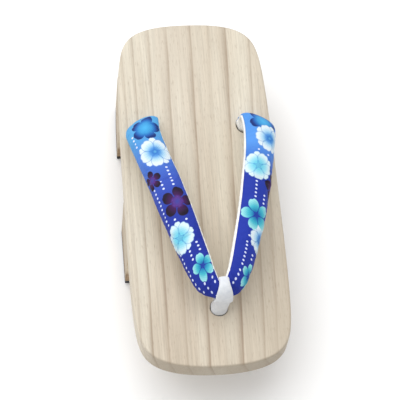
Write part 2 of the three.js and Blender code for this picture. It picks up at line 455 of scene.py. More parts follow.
@dataclass(frozen=True)
class MouldedRubber(Finish):
    """Black moulded rubber sheet: matt, with a fine grain that breaks up its gloss."""

    name: str = "black_rubber_moulded"
    black: str = "0f0f11"
    dusty: str = "282623"
    grain: float = 0.625  # coarser than the real grain, so that it shows
    dust: float = 7.692

    def dress(self, graph: Graph) -> Any:
        """Adds the rubber's nodes.

        Args:
            graph: The graph to add to.

        Returns:
            The rubber's shader.
        """
        seen = graph.add("TexCoord").outputs["Object"]
        grain = graph.add("TexNoise", named={"Vector": seen, "Scale": per_metre(self.grain), "Detail": 2.0})
        dust = graph.add("TexNoise", named={"Vector": seen, "Scale": per_metre(self.dust), "Detail": 4.0})
        share = graph.add("MapRange", dust, 0.5, 0.75, 0.0, 0.7)
        colour = graph.add("Mix", share, linear(self.black), linear(self.dusty), data_type="RGBA")
        dull = graph.add("MapRange", dust, 0.4, 0.7, 0.5, 0.72)
        bump = graph.add("Bump", named={"Strength": 0.5, "Distance": 0.08 * METRES, "Height": grain})
        named = {"Base Color": colour, "Roughness": dull, "Normal": bump, "IOR": 1.52}
        return graph.add("BsdfPrincipled", named=named)


@dataclass(frozen=True)
class WovenCloth(Finish):
    """Plain-woven cotton: its threads catch the light as a fine grid."""

    name: str
    thread: float = 0.7  # coarser than real thread, so that the weave shows at all
    slub: float = 0.5882  # how far apart the threads thicken
    sheen: float = 0.25
    roughness: float = 0.85

    def ground(self, graph: Graph, place: Any) -> Any:
        """Adds the cloth's colour, as dyed or printed, and returns it."""
        raise NotImplementedError

    def weave(self, graph: Graph, place: Any) -> Any:
        """Adds the over-and-under of the threads.

        Args:
            graph: The graph to add to.
            place: The place on the cloth, in millimetres.

        Returns:
            The threads' height, from 0 to 1.
        """
        axes = graph.add("SeparateXYZ", place)
        pitch = math.pi / self.thread
        waves = []
        for axis in ("X", "Y"):
            turn = graph.add("Math", axes.outputs[axis], pitch, operation="MULTIPLY")
            waves.append(graph.add("Math", turn, operation="SINE"))
        crossed = graph.add("Math", *waves, operation="MULTIPLY")
        return graph.add("MapRange", crossed, -1.0, 1.0, 0.0, 1.0)

    def dress(self, graph: Graph) -> Any:
        """Adds the cloth's nodes.

        Args:
            graph: The graph to add to.

        Returns:
            The cloth's shader.
        """
        seen = graph.add("UVMap", uv_map=CLOTH_MAP)
        place = graph.add("VectorMath", seen, (1 / METRES,) * 3, operation="MULTIPLY")
        threads = self.weave(graph, place)
        slub = graph.add("TexNoise", named={"Vector": place, "Scale": 1 / self.slub, "Detail": 3.0})
        height = graph.add("Math", slub, 0.9, threads, operation="MULTIPLY_ADD")
        shadow = graph.add("MapRange", threads, 0.0, 1.0, 0.9, 1.04)
        colour = graph.add("VectorMath", self.ground(graph, place), shadow, operation="MULTIPLY")
        bump = graph.add("Bump", named={"Strength": 0.6, "Distance": 0.07 * METRES, "Height": height})
        named = {
            "Base Color": colour,
            "Roughness": self.roughness,
            "Normal": bump,
            "Specular IOR Level": 0.3,
            "Sheen Weight": self.sheen,
            "Sheen Roughness": 0.4,
        }
        return graph.add("BsdfPrincipled", named=named)


@dataclass(frozen=True)
class BleachedCotton(WovenCloth):
    """Bleached cotton, a little uneven in its white."""

    name: str = "cotton_lining_white"
    white: str = "efefec"
    shade: str = "e0e0de"
    blotch: float = 11.11

    def ground(self, graph: Graph, place: Any) -> Any:
        """Adds the uneven white.

        Args:
            graph: The graph to add to.
            place: The place on the cloth, in millimetres.

        Returns:
            The cloth's colour.
        """
        blotch = graph.add("TexNoise", named={"Vector": place, "Scale": 1 / self.blotch, "Detail": 3.0})
        share = graph.add("MapRange", blotch, 0.4, 0.7, 0.0, 1.0)
        return graph.add("Mix", share, linear(self.white), linear(self.shade), data_type="RGBA")


@dataclass(frozen=True)
class Bloom:
    """One kind of printed flower, with its sizes as shares of its radius.

    Its hues run from the heart outwards. Each of its five petals is an oval with a dent in its tip,
    and small petals may show in the gaps between them.
    """

    name: str
    hues: tuple[tuple[float, str], ...]
    line: str
    reach: float = 0.60
    long: float = 0.40
    wide: float = 0.36
    dent: float = 0.16
    small: float = 0.0
    heart: float = 0.2
    rim: float = 0.4
    streak: float = 0.25
    streaks: float = 26.0  # waves of fine veins for each radian
    parting: tuple[float, float] = (0.012, 0.05)  # the line between two petals, sharp to faded
    parting_share: float = 0.8
    petals: int = 5

    def group(self) -> bpy.types.NodeTree:
        """Makes the flower as a node group, or finds it if it is already made.

        Returns:
            The group: from a place around the flower's centre to its colour and where it prints.
        """
        found = bpy.data.node_groups.get(self.name)
        if found:
            return found
        tree = bpy.data.node_groups.new(self.name, "ShaderNodeTree")
        for name in ("Along", "Across", "Turn"):
            tree.interface.new_socket(name, in_out="INPUT", socket_type="NodeSocketFloat")
        tree.interface.new_socket("Mask", in_out="OUTPUT", socket_type="NodeSocketFloat")
        tree.interface.new_socket("Colour", in_out="OUTPUT", socket_type="NodeSocketColor")
        graph = Graph(tree)
        given = graph.add("GroupInput")
        spot = graph.add("CombineXYZ", given.outputs["Along"], given.outputs["Across"])
        far = graph.add("VectorMath", spot, operation="LENGTH").outputs["Value"]
        bearing = graph.add("Math", given.outputs["Across"], given.outputs["Along"], operation="ARCTAN2")
        bearing = graph.add("Math", bearing, given.outputs["Turn"], operation="ADD")
        half = math.pi / self.petals
        swing = graph.add("Math", bearing, half, -half, operation="WRAP")
        petal = self.petal(graph, far, swing, self.reach, self.long, self.wide)
        big = graph.add("MapRange", petal, 0.95, 1.04, 1.0, 0.0)
        core = graph.add("MapRange", far, self.heart * 0.85, self.heart, 1.0, 0.0)
        mask = graph.add("Math", big, core, operation="MAXIMUM")
        gap = graph.add("Math", half, graph.add("Math", swing, operation="ABSOLUTE"), operation="SUBTRACT")
        gap = graph.add("Math", gap, far, operation="MULTIPLY")
        lined = graph.add("MapRange", gap, *self.parting, self.parting_share, 0.0)
        outside = graph.add("MapRange", far, self.heart * 0.6, self.heart * 1.9, 0.0, 1.0)
        lined = graph.add("Math", lined, outside, operation="MULTIPLY")
        rim = graph.add("MapRange", petal, 0.87, 0.97, 0.0, self.rim)
        lined = graph.add("Math", lined, rim, operation="MAXIMUM")
        wave = graph.add("Math", swing, self.streaks, operation="MULTIPLY")
        wave = graph.add("Math", wave, operation="COSINE")
        streak = graph.add("MapRange", wave, 0.2, 1.0, 0.0, self.streak)
        fading = graph.add("MapRange", far, 0.75, 0.3, 0.0, 1.0)
        streak = graph.add("Math", streak, fading, operation="MULTIPLY")
        streak = graph.add("Math", streak, outside, operation="MULTIPLY")
        lined = graph.add("Math", lined, streak, operation="MAXIMUM")
        if self.small:
            other = graph.add("Math", bearing, half, operation="ADD")
            other = graph.add("Math", other, half, -half, operation="WRAP")
            bud = self.petal(graph, far, other, 1 - self.small, self.small, self.small * 1.1)
            shown = graph.add("MapRange", bud, 0.92, 1.05, 1.0, 0.0)
            edge = graph.add("MapRange", bud, 0.8, 1.0, 0.0, self.rim / 2)
            lined = graph.add("Mix", big, edge, lined, data_type="FLOAT")
            mask = graph.add("Math", mask, shown, operation="MAXIMUM")
        shade = graph.ramp(far, [(place, linear(hue)) for place, hue in self.hues])
        colour = graph.add("Mix", lined, shade, linear(self.line), data_type="RGBA")
        graph.add("GroupOutput", mask, colour)
        return tree

    def petal(self, graph: Graph, far: Any, swing: Any, reach: float, long: float, wide: float) -> Any:
        """Adds one petal, which the swing repeats around the flower.

        Args:
            graph: The graph to add to.
            far: The distance from the flower's centre.
            swing: The bearing from the petal's own middle line.
            reach: Where the petal's centre is.
            long: Half its length.
            wide: Half its width.

        Returns:
            A node that is 1 on the petal's rim and less inside it.
        """
        out = graph.add("Math", swing, operation="COSINE")
        aside = graph.add("Math", swing, operation="SINE")
        for step, value in (("MULTIPLY", far), ("SUBTRACT", reach), ("DIVIDE", long)):
            out = graph.add("Math", out, value, operation=step)
        for step, value in (("MULTIPLY", far), ("DIVIDE", wide)):
            aside = graph.add("Math", aside, value, operation=step)
        offset = graph.add("Math", aside, operation="ABSOLUTE")
        dent = graph.add("MapRange", offset, 0.0, 0.4, self.dent, 0.0)
        out = graph.add("Math", out, dent, operation="ADD")
        spot = graph.add("CombineXYZ", out, aside)
        return graph.add("VectorMath", spot, operation="LENGTH").outputs["Value"]


class Blooms(Enum):
    """The five kinds of flower in the print."""

    TEAL = Bloom(
        "bloom_teal",
        ((0.1, "163a98"), (0.28, "1d84b2"), (0.55, "40b2c4"), (0.92, "98d8dc")),
        line="17429a",
        wide=0.335,
        heart=0.14,
        rim=0.0,
    )
    CREAM = Bloom(
        "bloom_cream",
        ((0.0, "6fc6d6"), (0.3, "6cc4da"), (0.55, "9ad4e2"), (0.78, "cfe2e8")),
        line="3c86c4",
        wide=0.37,
        small=0.19,
        heart=0.3,
        rim=0.75,
    )
    SNOW = Bloom(
        "bloom_snow",
        ((0.0, "6cc0dc"), (0.12, "2c72c0"), (0.3, "5494d2"), (0.5, "a2cbe4"), (0.74, "d2e0e8")),
        line="3272bc",
        wide=0.37,
        small=0.19,
        heart=0.3,
        rim=0.75,
    )
    PLUM = Bloom(
        "bloom_plum",
        ((0.0, "4048ac"), (0.26, "5c3698"), (0.42, "3c0e50"), (0.8, "180522")),
        line="160624",
        reach=0.64,
        long=0.36,
        wide=0.35,
        dent=0.08,
        heart=0.4,
        rim=0.3,
        streak=0.0,
    )
    INK = Bloom(
        "bloom_ink",
        ((0.0, "46a8dc"), (0.42, "3490cc"), (0.64, "1a5cab"), (0.82, "082a6e")),
        line="1468b8",
        reach=0.61,
        long=0.39,
        wide=0.38,
        dent=0.1,
        heart=0.46,
        rim=0.0,
    )


@dataclass(frozen=True)
class Printed:
    """One flower of the print: its kind, its place from the apex and the crown, its radius and its turn."""

    kind: Blooms
    along: float
    across: float
    radius: float
    turn: float


@dataclass(frozen=True)
class DotRow:
    """A row of white dots: its first dot's place, how many there are and how the row slopes."""

    start: float
    across: float
    dots: int
    slope: float = 0.0


@dataclass(frozen=True)
class PrintedCotton(WovenCloth):
    """Cotton with a pigment print: flowers and dotted lines on a ground that pales towards the heel."""

    name: str = "cotton_printed"
    roughness: float = 0.72
    sheen: float = 0.04
    reach: float = 160.0  # how far to either side of the apex the ground is charted
    dot: tuple[float, float] = (0.62, 0.78)  # half its length and half its width
    dot_pitch: float = 2.6
    dot_colour: str = "d3dcf6"
    ground_stops: tuple[tuple[float, str], ...] = (
        (-150.0, "4a9ad2"),
        (-116.0, "4f9cd2"),
        (-98.0, "4678cc"),
        (-78.0, "3450b2"),
        (-58.0, "22379e"),
        (-40.0, "172c94"),
        (0.0, "142a92"),
        (40.0, "17309e"),
        (84.0, "1a339c"),
        (96.0, "3f74c8"),
        (106.0, "508fdc"),
        (150.0, "4489d2"),
    )
    flowers: tuple[Printed, ...] = (
        Printed(Blooms.INK, -118.5, -2.9, 9.6, 17),
        Printed(Blooms.SNOW, -99.0, -3.2, 10.9, -7),
        Printed(Blooms.PLUM, -81.2, 5.8, 6.6, 35),
        Printed(Blooms.PLUM, -61.5, -4.3, 10.4, 13),
        Printed(Blooms.CREAM, -40.0, 2.1, 10.2, -10),
        Printed(Blooms.TEAL, -16.5, -5.9, 8.4, -34),
        Printed(Blooms.INK, 122.2, 0.4, 9.5, -29),
        Printed(Blooms.SNOW, 110.0, 4.0, 10.0, 22),
        Printed(Blooms.PLUM, 78.0, 11.5, 9.0, 20),
        Printed(Blooms.CREAM, 88.0, -3.0, 9.9, -26),
        Printed(Blooms.SNOW, 40.8, 6.4, 9.6, 21),
        Printed(Blooms.TEAL, 54.0, -0.7, 10.6, 24),
        Printed(Blooms.TEAL, 16.2, 4.4, 7.2, 10),
    )
    rows: tuple[DotRow, ...] = (
        DotRow(-115.2, 6.8, 4),
        DotRow(-86.2, -5.9, 6),
        DotRow(-78.0, 0.8, 3),
        DotRow(-77.4, 7.3, 11),
        DotRow(-51.8, 1.0, 1),
        DotRow(-48.8, -6.0, 1),
        DotRow(-32.0, -7.2, 3, -0.12),
        DotRow(-29.1, -1.2, 3),
        DotRow(-31.2, 6.6, 10, -0.06),
        DotRow(-9.2, -0.6, 4, 0.33),
        DotRow(-7.5, -7.0, 2, 0.3),
        DotRow(65.8, -3.1, 5),
        DotRow(61.2, 3.3, 4),
        DotRow(38.8, -3.4, 1),
        DotRow(18.6, -4.1, 7, 0.02),
        DotRow(6.5, -3.5, 4, -0.1),
        DotRow(25.6, 2.1, 2),
        DotRow(99.5, -3.4, 1),
        DotRow(97.6, 3.4, 1),
    )

    def dots_group(self) -> bpy.types.NodeTree:
        """Makes a node group for one row of dots, or finds it if it is already made.

        Returns:
            The group: from a place along and across the strap to where the row's dots print.
        """
        found = bpy.data.node_groups.get("dot_row")
        if found:
            return found
        tree = bpy.data.node_groups.new("dot_row", "ShaderNodeTree")
        for name in ("Along", "Across", "Length", "Slope"):
            tree.interface.new_socket(name, in_out="INPUT", socket_type="NodeSocketFloat")
        tree.interface.new_socket("Mask", in_out="OUTPUT", socket_type="NodeSocketFloat")
        graph = Graph(tree)
        given = graph.add("GroupInput")
        along, half = given.outputs["Along"], self.dot_pitch / 2
        step = graph.add("Math", along, half, -half, operation="WRAP")
        step = graph.add("Math", step, self.dot[0], operation="DIVIDE")
        tilt = graph.add("Math", along, given.outputs["Slope"], operation="MULTIPLY")
        aside = graph.add("Math", given.outputs["Across"], tilt, operation="SUBTRACT")
        aside = graph.add("Math", aside, self.dot[1], operation="DIVIDE")
        spot = graph.add("CombineXYZ", step, aside)
        far = graph.add("VectorMath", spot, operation="LENGTH").outputs["Value"]
        mask = graph.add("MapRange", far, 0.8, 1.15, 1.0, 0.0)
        begun = graph.add("Math", along, -half, operation="GREATER_THAN")
        left = graph.add("Math", along, given.outputs["Length"], operation="LESS_THAN")
        within = graph.add("Math", begun, left, operation="MULTIPLY")
        graph.add("GroupOutput", graph.add("Math", mask, within, operation="MULTIPLY"))
        return tree

    def ground(self, graph: Graph, place: Any) -> Any:
        """Adds the print: the paling ground, then the dots, then the flowers over them.

        Args:
            graph: The graph to add to.
            place: The place on the cloth: along it from the apex, and across it from the crown.

        Returns:
            The printed cloth's colour.
        """
        along = graph.add("SeparateXYZ", place)
        share = graph.add("MapRange", along, -self.reach, self.reach, 0.0, 1.0)
        stops = [((at + self.reach) / (2 * self.reach), linear(c)) for at, c in self.ground_stops]
        colour = graph.ramp(share, stops)
        for row in self.rows:
            spot = graph.add("VectorMath", place, (row.start, row.across, 0.0), operation="SUBTRACT")
            near = graph.add("SeparateXYZ", spot)
            named = {
                "Along": near.outputs["X"],
                "Across": near.outputs["Y"],
                "Length": (row.dots - 0.5) * self.dot_pitch,
                "Slope": row.slope,
            }
            dots = graph.add("Group", node_tree=self.dots_group(), named=named)
            colour = graph.add("Mix", dots, colour, linear(self.dot_colour), data_type="RGBA")
        for flower in self.flowers:
            centre = (flower.along, flower.across, 0.0)
            spot = graph.add("VectorMath", place, centre, operation="SUBTRACT")
            spot = graph.add("VectorMath", spot, (1 / flower.radius,) * 3, operation="MULTIPLY")
            near = graph.add("SeparateXYZ", spot)
            named = {
                "Along": near.outputs["X"],
                "Across": near.outputs["Y"],
                "Turn": math.radians(flower.turn),
            }
            bloom = graph.add("Group", node_tree=flower.kind.value.group(), named=named)
            hue = bloom.outputs["Colour"]
            colour = graph.add("Mix", bloom.outputs["Mask"], colour, hue, data_type="RGBA")
        return colour


@dataclass(frozen=True)
class BrushedCotton(Finish):
    """White cotton flannel with a raised nap, which blurs its folds and catches light at its edges."""

    name: str = "cotton_brushed_white"
    white: str = "d8dbdf"
    shade: str = "ccd0d6"
    nap: float = 0.3846  # coarser than the real fibres, so that they show
    clump: float = 2.381
    glow: tuple[float, float, float] = (2.0, 1.8, 1.6)  # how far red, green and blue light spread

    def dress(self, graph: Graph) -> Any:
        """Adds the flannel's nodes.

        Args:
            graph: The graph to add to.

        Returns:
            The flannel's shader.
        """
        seen = graph.add("TexCoord").outputs["Object"]
        nap = graph.add("TexNoise", named={"Vector": seen, "Scale": per_metre(self.nap), "Detail": 3.0})
        clump = graph.add("TexNoise", named={"Vector": seen, "Scale": per_metre(self.clump), "Detail": 3.0})
        share = graph.add("MapRange", clump, 0.35, 0.7, 0.0, 1.0)
        colour = graph.add("Mix", share, linear(self.white), linear(self.shade), data_type="RGBA")
        height = graph.add("Math", clump, 2.0, nap, operation="MULTIPLY_ADD")
        bump = graph.add("Bump", named={"Strength": 0.7, "Distance": 0.1 * METRES, "Height": height})
        named = {
            "Base Color": colour,
            "Roughness": 0.95,
            "Normal": bump,
            "Sheen Weight": 0.4,
            "Sheen Roughness": 0.5,
            "Subsurface Weight": 0.12,
            "Subsurface Radius": tuple(reach * METRES for reach in self.glow),
            "Subsurface Scale": 1.0,
        }
        return graph.add("BsdfPrincipled", named=named)


@dataclass(frozen=True)
class LaidCord(Finish):
    """Unbleached cotton cord, laid from three strands: dull, with fine fibres along each strand."""

    name: str = "cotton_cord_laid"
    pale: str = "dcd3be"
    dark: str = "b3a688"
    fibre: float = 0.5263  # coarser than the real fibres, so that they show

    def dress(self, graph: Graph) -> Any:
        """Adds the cord's nodes.

        Args:
            graph: The graph to add to.

        Returns:
            The cord's shader.
        """
        seen = graph.add("TexCoord").outputs["Object"]
        fibre = graph.add("TexNoise", named={"Vector": seen, "Scale": per_metre(self.fibre), "Detail": 4.0})
        share = graph.add("MapRange", fibre, 0.35, 0.7, 0.0, 1.0)
        colour = graph.add("Mix", share, linear(self.pale), linear(self.dark), data_type="RGBA")
        bump = graph.add("Bump", named={"Strength": 0.8, "Distance": 0.12 * METRES, "Height": fibre})
        named = {"Base Color": colour, "Roughness": 0.9, "Normal": bump, "Sheen Weight": 0.2}
        return graph.add("BsdfPrincipled", named=named)


@dataclass(frozen=True)
class FloorPaper(Finish):
    """Matt white paper, which takes soft shadows and shows no gloss."""

    name: str = "floor_paper"
    white: str = "f7f7f7"

    def dress(self, graph: Graph) -> Any:
        """Adds the paper's shader and returns it."""
        named = {"Base Color": linear(self.white), "Roughness": 0.95, "Specular IOR Level": 0.2}
        return graph.add("BsdfPrincipled", named=named)


DECK_WOOD = DeckWood("paulownia_deck", Fibres.HEEL_TO_TOE)
TOOTH_WOOD = ToothWood("paulownia_tooth", Fibres.SIDE_TO_SIDE, pale="ddcfb6", warm="c9b595")
TREAD_RUBBER = MouldedRubber()
PRINT = PrintedCotton()
LINING = BleachedCotton()
FLANNEL = BrushedCotton()
CORD = LaidCord()
PAPER = FloorPaper()


# ------------------------------------------------------------------------------------------------
# Meshes
# ------------------------------------------------------------------------------------------------


class Slot(Enum):
    """The record's material slots."""

    WOOD = "wood"
    RUBBER = "tread_rubber"
    PRINT = "printed_cloth"
    WHITE = "white_cloth"


def stand(name: str, data: bpy.types.ID) -> bpy.types.Object:
    """Makes an object of a mesh, light or camera and puts it into the scene.

    Args:
        name: The object's name.
        data: What it shows.

    Returns:
        The object, at the origin.
    """
    made = bpy.data.objects.new(name, data)
    bpy.context.scene.collection.objects.link(made)
    return made


def mesh_of(name: str, bm: bmesh.types.BMesh) -> bpy.types.Mesh:
    """Makes a mesh of a bmesh.

    Args:
        name: The mesh's name.
        bm: The bmesh, in metres, which is freed.

    Returns:
        The mesh.
    """
    mesh = bpy.data.meshes.new(name)
    bm.to_mesh(mesh)
    bm.free()
    return mesh


def piece(name: str, bm: bmesh.types.BMesh, finish: Finish) -> bpy.types.Object:
    """Makes a finished, smooth-shaded object that rides on the body.

    Args:
        name: The piece's name.
        bm: Its mesh, in metres, which is freed.
        finish: What it is made of.

    Returns:
        The object, at the origin.
    """
    mesh = mesh_of(name, bm)
    mesh.shade_smooth()
    mesh.materials.append(finish.material())
    made = stand(name, mesh)
    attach(made, ROOT)
    return made


def settle(made: bpy.types.Object) -> None:
    """Applies an object's modifiers to its mesh.

    Args:
        made: The object.
    """
    graph = bpy.context.evaluated_depsgraph_get()
    mesh = bpy.data.meshes.new_from_object(made.evaluated_get(graph))
    made.modifiers.clear()
    made.data = mesh
    mesh.name = made.name


def settle_flat(made: bpy.types.Object) -> None:
    """Applies an object's modifiers, and shades its flat faces as flat up to their eased edges.

    Args:
        made: The object.
    """
    shading = made.modifiers.new("even_shading", "WEIGHTED_NORMAL")
    shading.weight = 100
    settle(made)


def ease(bm: bmesh.types.BMesh, sharper: float, width: float, segments: int) -> None:
    """Rounds a mesh's sharp edges.

    Args:
        bm: The mesh.
        sharper: Only edges that turn by more than this are rounded, in degrees.
        width: How far the rounding reaches from the edge, in millimetres.
        segments: Its number of facets.
    """
    edges = [edge for edge in bm.edges if edge.calc_face_angle(0) > math.radians(sharper)]
    bmesh.ops.bevel(
        bm,
        geom=edges,
        affect="EDGES",
        offset=width * METRES,
        segments=segments,
        profile=0.5,
        material=-1,
        clamp_overlap=True,
    )


def shaped_grid(along: int, around: int, rule: Rule, held: Hold | None = None) -> bmesh.types.BMesh:
    """Makes a sheet of quads and lays it where a rule says.

    Args:
        along: Its quads in the first direction.
        around: Its quads in the second direction.
        rule: Gives each spot, as two shares from 0 to 1, its place and cloth map in millimetres.
        held: Gives each spot how firmly it is held, from 0 to 1, if the sheet is to be swelled.

    Returns:
        The sheet, in metres.
    """
    bm = bmesh.new()
    bmesh.ops.create_grid(bm, x_segments=along, y_segments=around, size=0.5)
    shares = np.array([vert.co[:2] for vert in bm.verts]) + 0.5
    places, ups, overs = rule(shares[:, 0], shares[:, 1])
    for vert, place in zip(bm.verts, places * METRES):
        vert.co = place
    layer = bm.loops.layers.uv.new(CLOTH_MAP)
    bm.verts.index_update()
    for face in bm.faces:
        for loop in face.loops:
            i = loop.vert.index
            loop[layer].uv = (ups[i] * METRES, overs[i] * METRES)
    if held:
        firmness = bm.verts.layers.float.new(HELD)
        for vert, value in zip(bm.verts, held(shares[:, 0], shares[:, 1])):
            vert[firmness] = value
    return bm


def closed_tube(along: int, around: int, rule: Rule) -> bmesh.types.BMesh:
    """Makes a sheet that its rule rolls into a tube, joins its seam and fills its ends.

    Args:
        along: Its quads in the first direction.
        around: Its quads in the second direction.
        rule: Gives each spot, as two shares from 0 to 1, its place in millimetres and its shares.

    Returns:
        The tube, in metres, with its faces outwards.
    """
    bm = shaped_grid(along, around, rule)
    bmesh.ops.remove_doubles(bm, verts=bm.verts, dist=WELD * METRES)
    bmesh.ops.holes_fill(bm, edges=bm.edges)
    bmesh.ops.recalc_face_normals(bm, faces=bm.faces)
    return bm


def bell(distance: Array | float, width: float) -> Array | float:
    """A smooth bump of height 1 that fades over a width."""
    return np.exp(-((distance / width) ** 2))


def fuller(value: Array, fullness: float) -> Array:
    """A sine or cosine pushed outwards, so that a section fills its shoulders."""
    return np.sign(value) * np.abs(value) ** (2 / fullness)


def trimmed(share: Array, tail: float) -> Array:
    """Shares of a whole, turned to shares of what is left when both its tails are cut off."""
    return tail + share * (1 - 2 * tail)


def smooth_curve(points: Array, t: Array) -> Array:
    """Reads a centripetal Catmull-Rom curve.

    Args:
        points: The points that it passes through, one to a row.
        t: Where to read it, from 0 at the first point to 1 at the last.

    Returns:
        A point for each t.
    """
    spans = len(points) - 1
    start = np.minimum(np.floor(t * spans).astype(int), spans - 1)
    share = (t * spans - start)[:, None]
    padded = np.vstack([2 * points[0] - points[1], points, 2 * points[-1] - points[-2]])
    p0, p1, p2, p3 = (padded[start + i] for i in range(4))
    d0, d1, d2 = (
        np.sqrt(np.linalg.norm(b - a, axis=1, keepdims=True)) for a, b in ((p0, p1), (p1, p2), (p2, p3))
    )
    d1 = np.where(d1 < SAME_POINT, 1.0, d1)
    d0, d2 = (np.where(d < SAME_POINT, d1, d) for d in (d0, d2))
    leave = ((p1 - p0) / d0 - (p2 - p0) / (d0 + d1) + (p2 - p1) / d1) * d1
    arrive = ((p2 - p1) / d1 - (p3 - p1) / (d1 + d2) + (p3 - p2) / d2) * d1
    square = 3 * (p2 - p1) - 2 * leave - arrive
    cube = 2 * (p1 - p2) + leave + arrive
    return p1 + leave * share + square * share**2 + cube * share**3


# ------------------------------------------------------------------------------------------------
# Deck, teeth and treads
# ------------------------------------------------------------------------------------------------


@dataclass(frozen=True)
class Hole:
    """A round cord hole down through the deck."""

    x: float
    y: float
    radius: float


@dataclass
class Deck:
    """The plank that the foot stands on, with rounded ends, eased edges and three cord holes."""

    length: float = 240.0
    half_width: float = 48.5
    toe_flare: float = 1.4
    end_pinch: float = 5.0
    end_sharpness: float = 16.0
    toe_roundness: float = 2.15
    heel_roundness: float = 2.5
    underside: float = 42.5
    thickness: float = 14.25
    eased_edge: float = 1.4
    hole_edge: float = 0.5
    outline_steps: int = 96
    holes: tuple[Hole, ...] = (
        Hole(3.75, -80.75, 5.6),
        Hole(-29.25, 45.5, 6.0),
        Hole(31.75, 45.5, 6.0),
    )

    @property
    def top(self) -> float:
        """The height of the foot bed."""
        return self.underside + self.thickness

    def side_line(self, y: float) -> float:
        """Half the width of the side line at y, before the ends are rounded."""
        u = y / (self.length / 2)
        return self.half_width - self.toe_flare * u - self.end_pinch * u**4

    def half_width_at(self, y: float) -> float:
        """Works out half the width of the deck.

        Args:
            y: Where along the deck.

        Returns:
            Half its width there.
        """
        u = min(1.0, abs(y) / (self.length / 2))
        roundness = self.toe_roundness if y < 0 else self.heel_roundness
        return self.side_line(y) * (1 - u**self.end_sharpness) ** (1 / roundness)

    def board(self) -> bmesh.types.BMesh:
        """Makes the plank without its holes.

        Returns:
            Its mesh, in metres.
        """
        bm = bmesh.new()
        bmesh.ops.create_circle(bm, cap_ends=True, segments=4 * self.outline_steps, radius=1.0)
        for vert in bm.verts:
            bearing = math.atan2(vert.co.x, vert.co.y) / math.pi
            side = math.copysign(1.0, bearing)
            step = 1 - 2 * abs(bearing)
            y = math.copysign(1 - (1 - abs(step)) ** 3, step) * self.length / 2
            vert.co = Vector((side * self.half_width_at(y), y, self.underside)) * METRES
        lower = bm.faces[:]
        walls = bmesh.ops.extrude_face_region(bm, geom=lower)["geom"]
        raised = [item for item in walls if isinstance(item, bmesh.types.BMVert)]
        bmesh.ops.translate(bm, vec=(0, 0, self.thickness * METRES), verts=raised)
        bmesh.ops.remove_doubles(bm, verts=bm.verts, dist=0.01 * METRES)
        bmesh.ops.recalc_face_normals(bm, faces=bm.faces)
        ease(bm, sharper=60, width=self.eased_edge, segments=5)
        return bm

    def drill(self, hole: Hole) -> bpy.types.Object:
        """Makes the cutter for a hole.

        Args:
            hole: The hole.

        Returns:
            A cylinder that reaches out of the board on both sides.
        """
        bm = bmesh.new()
        bmesh.ops.create_cone(
            bm,
            cap_ends=True,
            segments=64,
            radius1=hole.radius * METRES,
            radius2=hole.radius * METRES,
            depth=2 * self.thickness * METRES,
        )
        middle = Vector((hole.x, hole.y, self.underside + self.thickness / 2))
        bmesh.ops.translate(bm, vec=middle * METRES, verts=bm.verts)
        return stand("drill", mesh_of("drill", bm))

    def build(self) -> bpy.types.Object:
        """Builds the deck, drills its holes and breaks their edges.

        Returns:
            The deck's board.
        """
        board = piece("deck_board", self.board(), DECK_WOOD)
        cutters = [self.drill(hole) for hole in self.holes]
        for cutter in cutters:
            cut = board.modifiers.new("hole", "BOOLEAN")
            cut.operation = "DIFFERENCE"
            cut.solver = "EXACT"
            cut.object = cutter
        edges = board.modifiers.new("hole_edges", "BEVEL")
        edges.width = self.hole_edge * METRES
        edges.segments = 3
        edges.limit_method = "ANGLE"
        edges.angle_limit = math.radians(50)
        settle_flat(board)
        for cutter in cutters:
            bpy.data.objects.remove(cutter)
        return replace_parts(board, "deck")


@dataclass
class Tooth:
    """A block that carries the deck, and the rubber tread under it."""

    name: str
    front_top: float
    rear_top: float
    front_foot: float
    rear_foot: float
    tread: float = 3.75
    side_draft: float = 1.25
    edge: float = 0.35
    steps: int = 7

    def block(self, deck: Deck, low: float, high: float) -> bmesh.types.BMesh:
        """Makes a slice of the tooth.

        Args:
            deck: The deck, whose side line the slice follows.
            low: The slice's lower height.
            high: The slice's upper height.

        Returns:
            The slice, with broken edges.
        """
        bm = bmesh.new()
        bmesh.ops.create_cube(bm, size=1.0)
        lengthwise = [e for e in bm.edges if abs(e.verts[0].co.y - e.verts[1].co.y) > 0.5]
        bmesh.ops.subdivide_edges(bm, edges=lengthwise, cuts=self.steps, use_grid_fill=True)
        for vert in bm.verts:
            z = low if vert.co.z < 0 else high
            rise = z / deck.underside
            front = self.front_foot + (self.front_top - self.front_foot) * rise
            rear = self.rear_foot + (self.rear_top - self.rear_foot) * rise
            y = front + (rear - front) * (vert.co.y + 0.5)
            half_width = deck.side_line(y) - self.side_draft * (1 - rise)
            vert.co = Vector((2 * vert.co.x * half_width, y, z)) * METRES
        ease(bm, sharper=45, width=self.edge, segments=2)
        return bm

    def build(self, deck: Deck) -> list[bpy.types.Object]:
        """Builds the block and its tread.

        Args:
            deck: The deck over them.

        Returns:
            The block and the tread.
        """
        upper = self.block(deck, self.tread, deck.underside)
        block = piece(f"{self.name}_tooth_block", upper, TOOTH_WOOD)
        lower = self.block(deck, 0.0, self.tread)
        tread = piece(f"{self.name}_tread_sheet", lower, TREAD_RUBBER)
        settle_flat(block)
        settle_flat(tread)
        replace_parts(block, f"{self.name}_tooth")
        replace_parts(tread, f"{self.name}_tread")
        return [block, tread]


# ------------------------------------------------------------------------------------------------
# Thong
# ------------------------------------------------------------------------------------------------


@dataclass(frozen=True)
class Section:
    """A section across the padding: its seams as out, y and height above the deck, and its two depths."""

    inner: tuple[float, float, float]
    outer: tuple[float, float, float]
    crown: float
    lining: float


@dataclass(frozen=True)
class Side:
    """One strap: its sign along X, and how far out and up the middle of each seam bows."""

    sign: int
    inner: tuple[float, float]
    outer: tuple[float, float]


@dataclass(frozen=True)
class Crease:
    """A soft trough in the cloth: its middle, its length, its width, its depth and its turn from along."""

    along: float
    across: float
    length: float
    width: float
    depth: float
    turn: float


